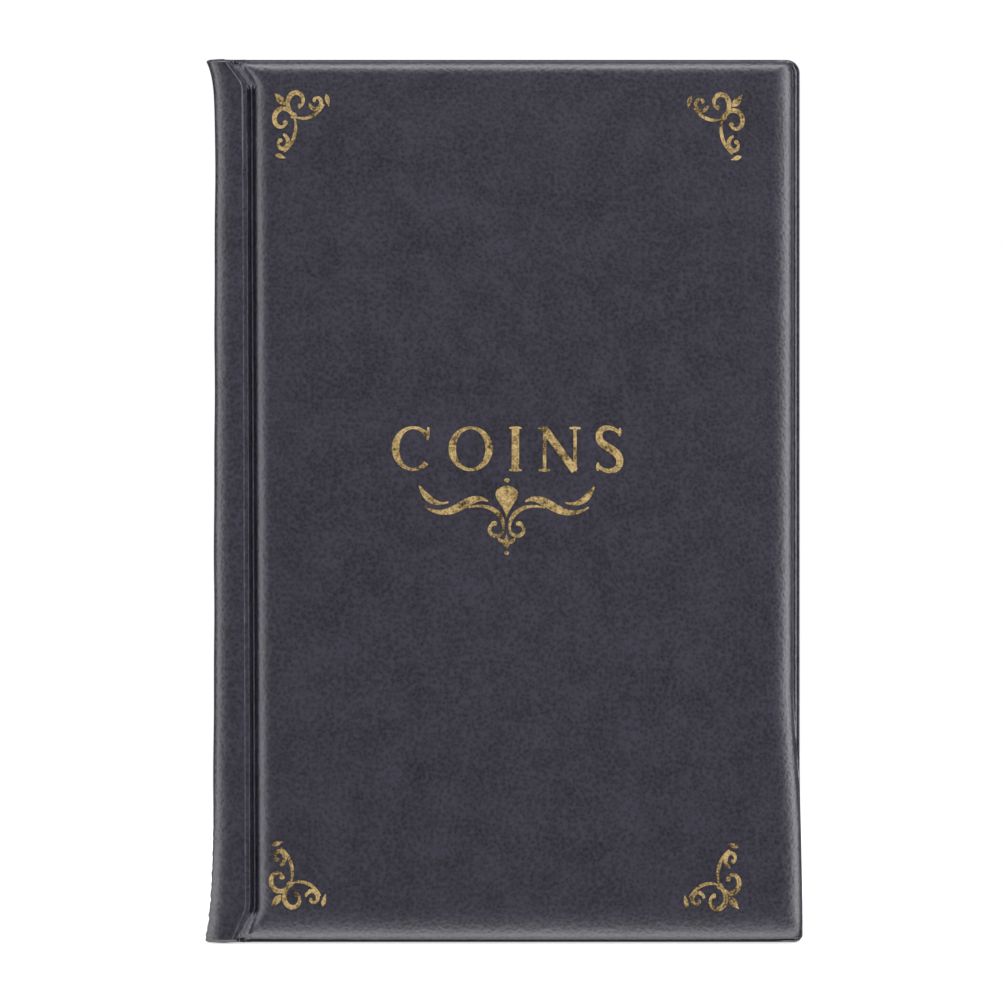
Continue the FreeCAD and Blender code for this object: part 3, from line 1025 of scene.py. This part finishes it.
def make_world():
    """A white background to the camera. The album is lit by a bright band round it, a little in front of its
    face, and by a pale table below. The levels are brightnesses of the world from front to back."""
    world = bpy.data.worlds.new("studio")
    bpy.context.scene.world = world
    world.use_nodes = True
    tree = world.node_tree
    tree.nodes.clear()
    way = add_node(tree, "ShaderNodeTexCoord", {}).outputs["Generated"]
    parts = add_node(tree, "ShaderNodeSeparateXYZ", {"Vector": way}).outputs
    place = ranged(tree, parts["Y"], 0, 1, -1, 1)
    ring = add_node(tree, "ShaderNodeValToRGB", {"Fac": place})
    band = ring.color_ramp
    levels = (
        (0.0, 0.036), (0.04, 0.05), (0.13, 0.1), (0.18, 0.24), (0.24, 1.0), (0.39, 1.0),
        (0.5, 0.2), (0.6, 0.045), (0.8, 0.045), (1.0, 0.06),
    )
    while len(band.elements) < len(levels):
        band.elements.new(0.5)
    for element, (position, level) in zip(band.elements, levels):
        element.position = position
        element.color = (level, level, level, 1)
    table = ranged(tree, parts["Z"], 0.27, 0.0, -0.8, -0.35)
    light = add_node(tree, "ShaderNodeMath", {0: ring.outputs["Color"], 1: table}, operation="ADD").outputs[0]
    path = add_node(tree, "ShaderNodeLightPath", {})
    around = add_node(tree, "ShaderNodeBackground", {"Color": light, "Strength": 5.0})
    behind = add_node(tree, "ShaderNodeBackground", {"Color": BACKGROUND, "Strength": 1.0})
    both = add_node(tree, "ShaderNodeMixShader", {"Fac": path.outputs["Is Camera Ray"]})
    tree.links.new(around.outputs[0], both.inputs[1])
    tree.links.new(behind.outputs[0], both.inputs[2])
    end = add_node(tree, "ShaderNodeOutputWorld", {})
    tree.links.new(both.outputs[0], end.inputs["Surface"])


def make_floor():
    """A pale floor that takes a faint shadow near the album and fades into the background."""
    half = 6.0
    corners = [(-half, -half, 0), (half, -half, 0), (half, half, 0), (-half, half, 0)]
    data = bpy.data.meshes.new("floor")
    data.from_pydata(corners, [], [(0, 1, 2, 3)])
    floor = bpy.data.objects.new("floor", data)
    floor.location.z = -0.0002
    bpy.context.scene.collection.objects.link(floor)
    made, tree, shader, place = new_material("floor", Roughness=0.9)
    length = add_node(tree, "ShaderNodeVectorMath", {0: place}, operation="LENGTH").outputs["Value"]
    near = ranged(tree, length, 0.4, 0.0, 0.05, 0.45)
    grain = noise(tree, place, 4.0)
    tree.links.new(colours(tree, grain, (0.92, 0.92, 0.92), (0.95, 0.95, 0.95)), shader.inputs["Base Color"])
    glow = add_node(tree, "ShaderNodeEmission", {"Color": BACKGROUND, "Strength": 1.0})
    both = add_node(tree, "ShaderNodeMixShader", {"Fac": near})
    tree.links.new(glow.outputs[0], both.inputs[1])
    tree.links.new(shader.outputs[0], both.inputs[2])
    tree.links.new(both.outputs[0], tree.nodes["Material Output"].inputs["Surface"])
    data.materials.append(made)
    floor.visible_diffuse = floor.visible_glossy = False


make_camera()
make_lights()
make_world()
for side, name in ((FRONT, "front"), (BACK, "back")):
    cover_skin(side, name)
    cover_foam(side, name)
    cover_lining(side, name)
spine_skin()
for number in range(1, LEAVES + 1):
    leaf_sheet(number)
    leaf_pockets(number)
stamped("title_stamping", "title_foil", title_strokes())
stamped("flourish_stamping", "flourish_foil", flourish_strokes())
stamped("corner_stamping", "corner_foil", corner_strokes())
dress({
    "leatherette": leatherette(),
    "foam": soft_foam(),
    "greyboard": fibre_board(),
    "lining": lining_vinyl(),
    "rivet_metal": rivet_metal(),
    "spacer_plastic": spacer_plastic(),
    "clear_film": clear_film(),
    "gold_foil": gold(),
})
make_floor()
bpy.context.scene.view_settings.view_transform = "Standard"
